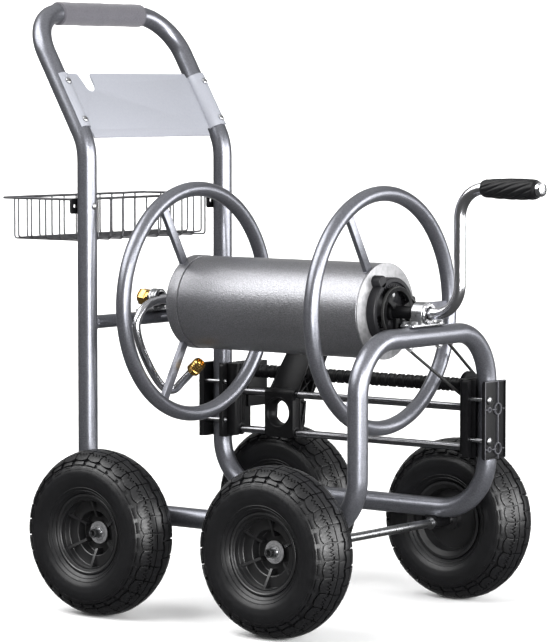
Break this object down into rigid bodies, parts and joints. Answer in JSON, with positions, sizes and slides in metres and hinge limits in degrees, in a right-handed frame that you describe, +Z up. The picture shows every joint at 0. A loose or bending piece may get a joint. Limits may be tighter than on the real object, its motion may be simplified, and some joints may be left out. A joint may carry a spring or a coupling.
{
  "type": "garden hose reel cart",
  "caption": "Wheeled tube-frame cart with a crank-driven hose drum between guard rings, a traversing hose guide, a push handle with foam grip, a hook plate and a wire basket.",
  "frame": {"origin": "on the ground, under the middle of the overall footprint", "axes": "+Z up, +X from the push handle towards the crank, +Y towards the side with the hose guide"},
  "size_m": [0.901, 0.556, 0.9375],
  "materials": {
    "silver_paint": "satin",
    "pale_paint": "satin",
    "zinc": "satin",
    "chrome": "polished",
    "brass": "polished",
    "black_plastic": "satin",
    "tyre_rubber": "matte",
    "belt_rubber": "matte",
    "foam": "matte",
    "wire": "satin"
  },
  "bodies": {
    "frame": {"axle_front": "zinc", "axle_mount_front_far": "black_plastic", "axle_mount_front_near": "black_plastic", "axle_mount_rear_far": "black_plastic", "axle_mount_rear_near": "black_plastic", "axle_rear": "zinc", "basket": "wire", "basket_bracket_far": "black_plastic", "basket_bracket_near": "black_plastic", "clamp_bolt_front_1": "zinc", "clamp_bolt_front_2": "zinc", "clamp_bolt_rear_1": "zinc", "clamp_bolt_rear_2": "zinc", "drive_belt": "belt_rubber", "foam_grip": "foam", "front_bearing": "zinc", "front_loop": "silver_paint", "guide_clamp_front_inner": "black_plastic", "guide_clamp_front_outer": "black_plastic", "guide_clamp_rear_inner": "black_plastic", "guide_clamp_rear_outer": "black_plastic", "guide_rod_lower": "zinc", "guide_rod_upper": "zinc", "handle_tube": "silver_paint", "hook_plate": "pale_paint", "inlet_swivel": "zinc", "plate_bolt_1": "zinc", "plate_bolt_2": "zinc", "plate_bolt_3": "zinc", "plate_bolt_4": "zinc", "rail_far": "silver_paint", "rail_near": "silver_paint", "rear_bearing": "zinc", "rear_crossbar": "silver_paint"},
    "reel": {"crank_arm": "chrome", "drive_hub": "black_plastic", "drum": "silver_paint", "drum_end_disc": "zinc", "guard_ring_crank": "silver_paint", "guard_ring_inlet": "silver_paint", "outlet_fitting": "brass", "outlet_pipe": "chrome", "spoke_crank_1": "silver_paint", "spoke_crank_2": "silver_paint", "spoke_crank_3": "silver_paint", "spoke_inlet_1": "silver_paint", "spoke_inlet_2": "silver_paint", "spoke_inlet_3": "silver_paint"},
    "crank_grip": {"crank_grip": "black_plastic"},
    "lead_screw": {"lead_screw": "black_plastic"},
    "carriage": {"carriage": "black_plastic"},
    "inlet_nut": {"inlet_nut": "brass"},
    "wheel_rear_near": {"tyre_rear_near": "tyre_rubber", "rim_rear_near": "black_plastic"},
    "wheel_rear_far": {"tyre_rear_far": "tyre_rubber", "rim_rear_far": "black_plastic"},
    "wheel_front_near": {"tyre_front_near": "tyre_rubber", "rim_front_near": "black_plastic"},
    "wheel_front_far": {"tyre_front_far": "tyre_rubber", "rim_front_far": "black_plastic"}
  },
  "joints": [
    {"name": "reel_spin", "type": "hinge", "parent": "frame", "child": "reel", "pos_m": [0, 0, 0.4672], "axis": [1, 0, 0], "continuous": true},
    {"name": "crank_grip_spin", "type": "hinge", "parent": "reel", "child": "crank_grip", "pos_m": [0.3935, 0, 0.6552], "axis": [1, 0, 0], "continuous": true},
    {"name": "wheel_rear_near_spin", "type": "hinge", "parent": "frame", "child": "wheel_rear_near", "pos_m": [-0.1967, -0.234, 0.127], "axis": [0, 1, 0], "continuous": true},
    {"name": "wheel_rear_far_spin", "type": "hinge", "parent": "frame", "child": "wheel_rear_far", "pos_m": [-0.1967, 0.234, 0.127], "axis": [0, 1, 0], "continuous": true},
    {"name": "wheel_front_near_spin", "type": "hinge", "parent": "frame", "child": "wheel_front_near", "pos_m": [0.1417, -0.234, 0.127], "axis": [0, 1, 0], "continuous": true},
    {"name": "wheel_front_far_spin", "type": "hinge", "parent": "frame", "child": "wheel_front_far", "pos_m": [0.1417, 0.234, 0.127], "axis": [0, 1, 0], "continuous": true},
    {"name": "lead_screw_spin", "type": "hinge", "parent": "frame", "child": "lead_screw", "pos_m": [0, 0.192, 0.3425], "axis": [1, 0, 0], "continuous": true},
    {"name": "carriage_slide", "type": "slide", "parent": "frame", "child": "carriage", "axis": [1, 0, 0], "range_m": [-0.02, 0.3]},
    {"name": "inlet_nut_spin", "type": "hinge", "parent": "frame", "child": "inlet_nut", "pos_m": [-0.2865, 0, 0.4672], "axis": [-0.9877, 0, 0.1564], "continuous": true}
  ],
  "couplings": [
    {"joint": "lead_screw_spin", "follows": "reel_spin", "ratio": 1.7317}
  ]
}
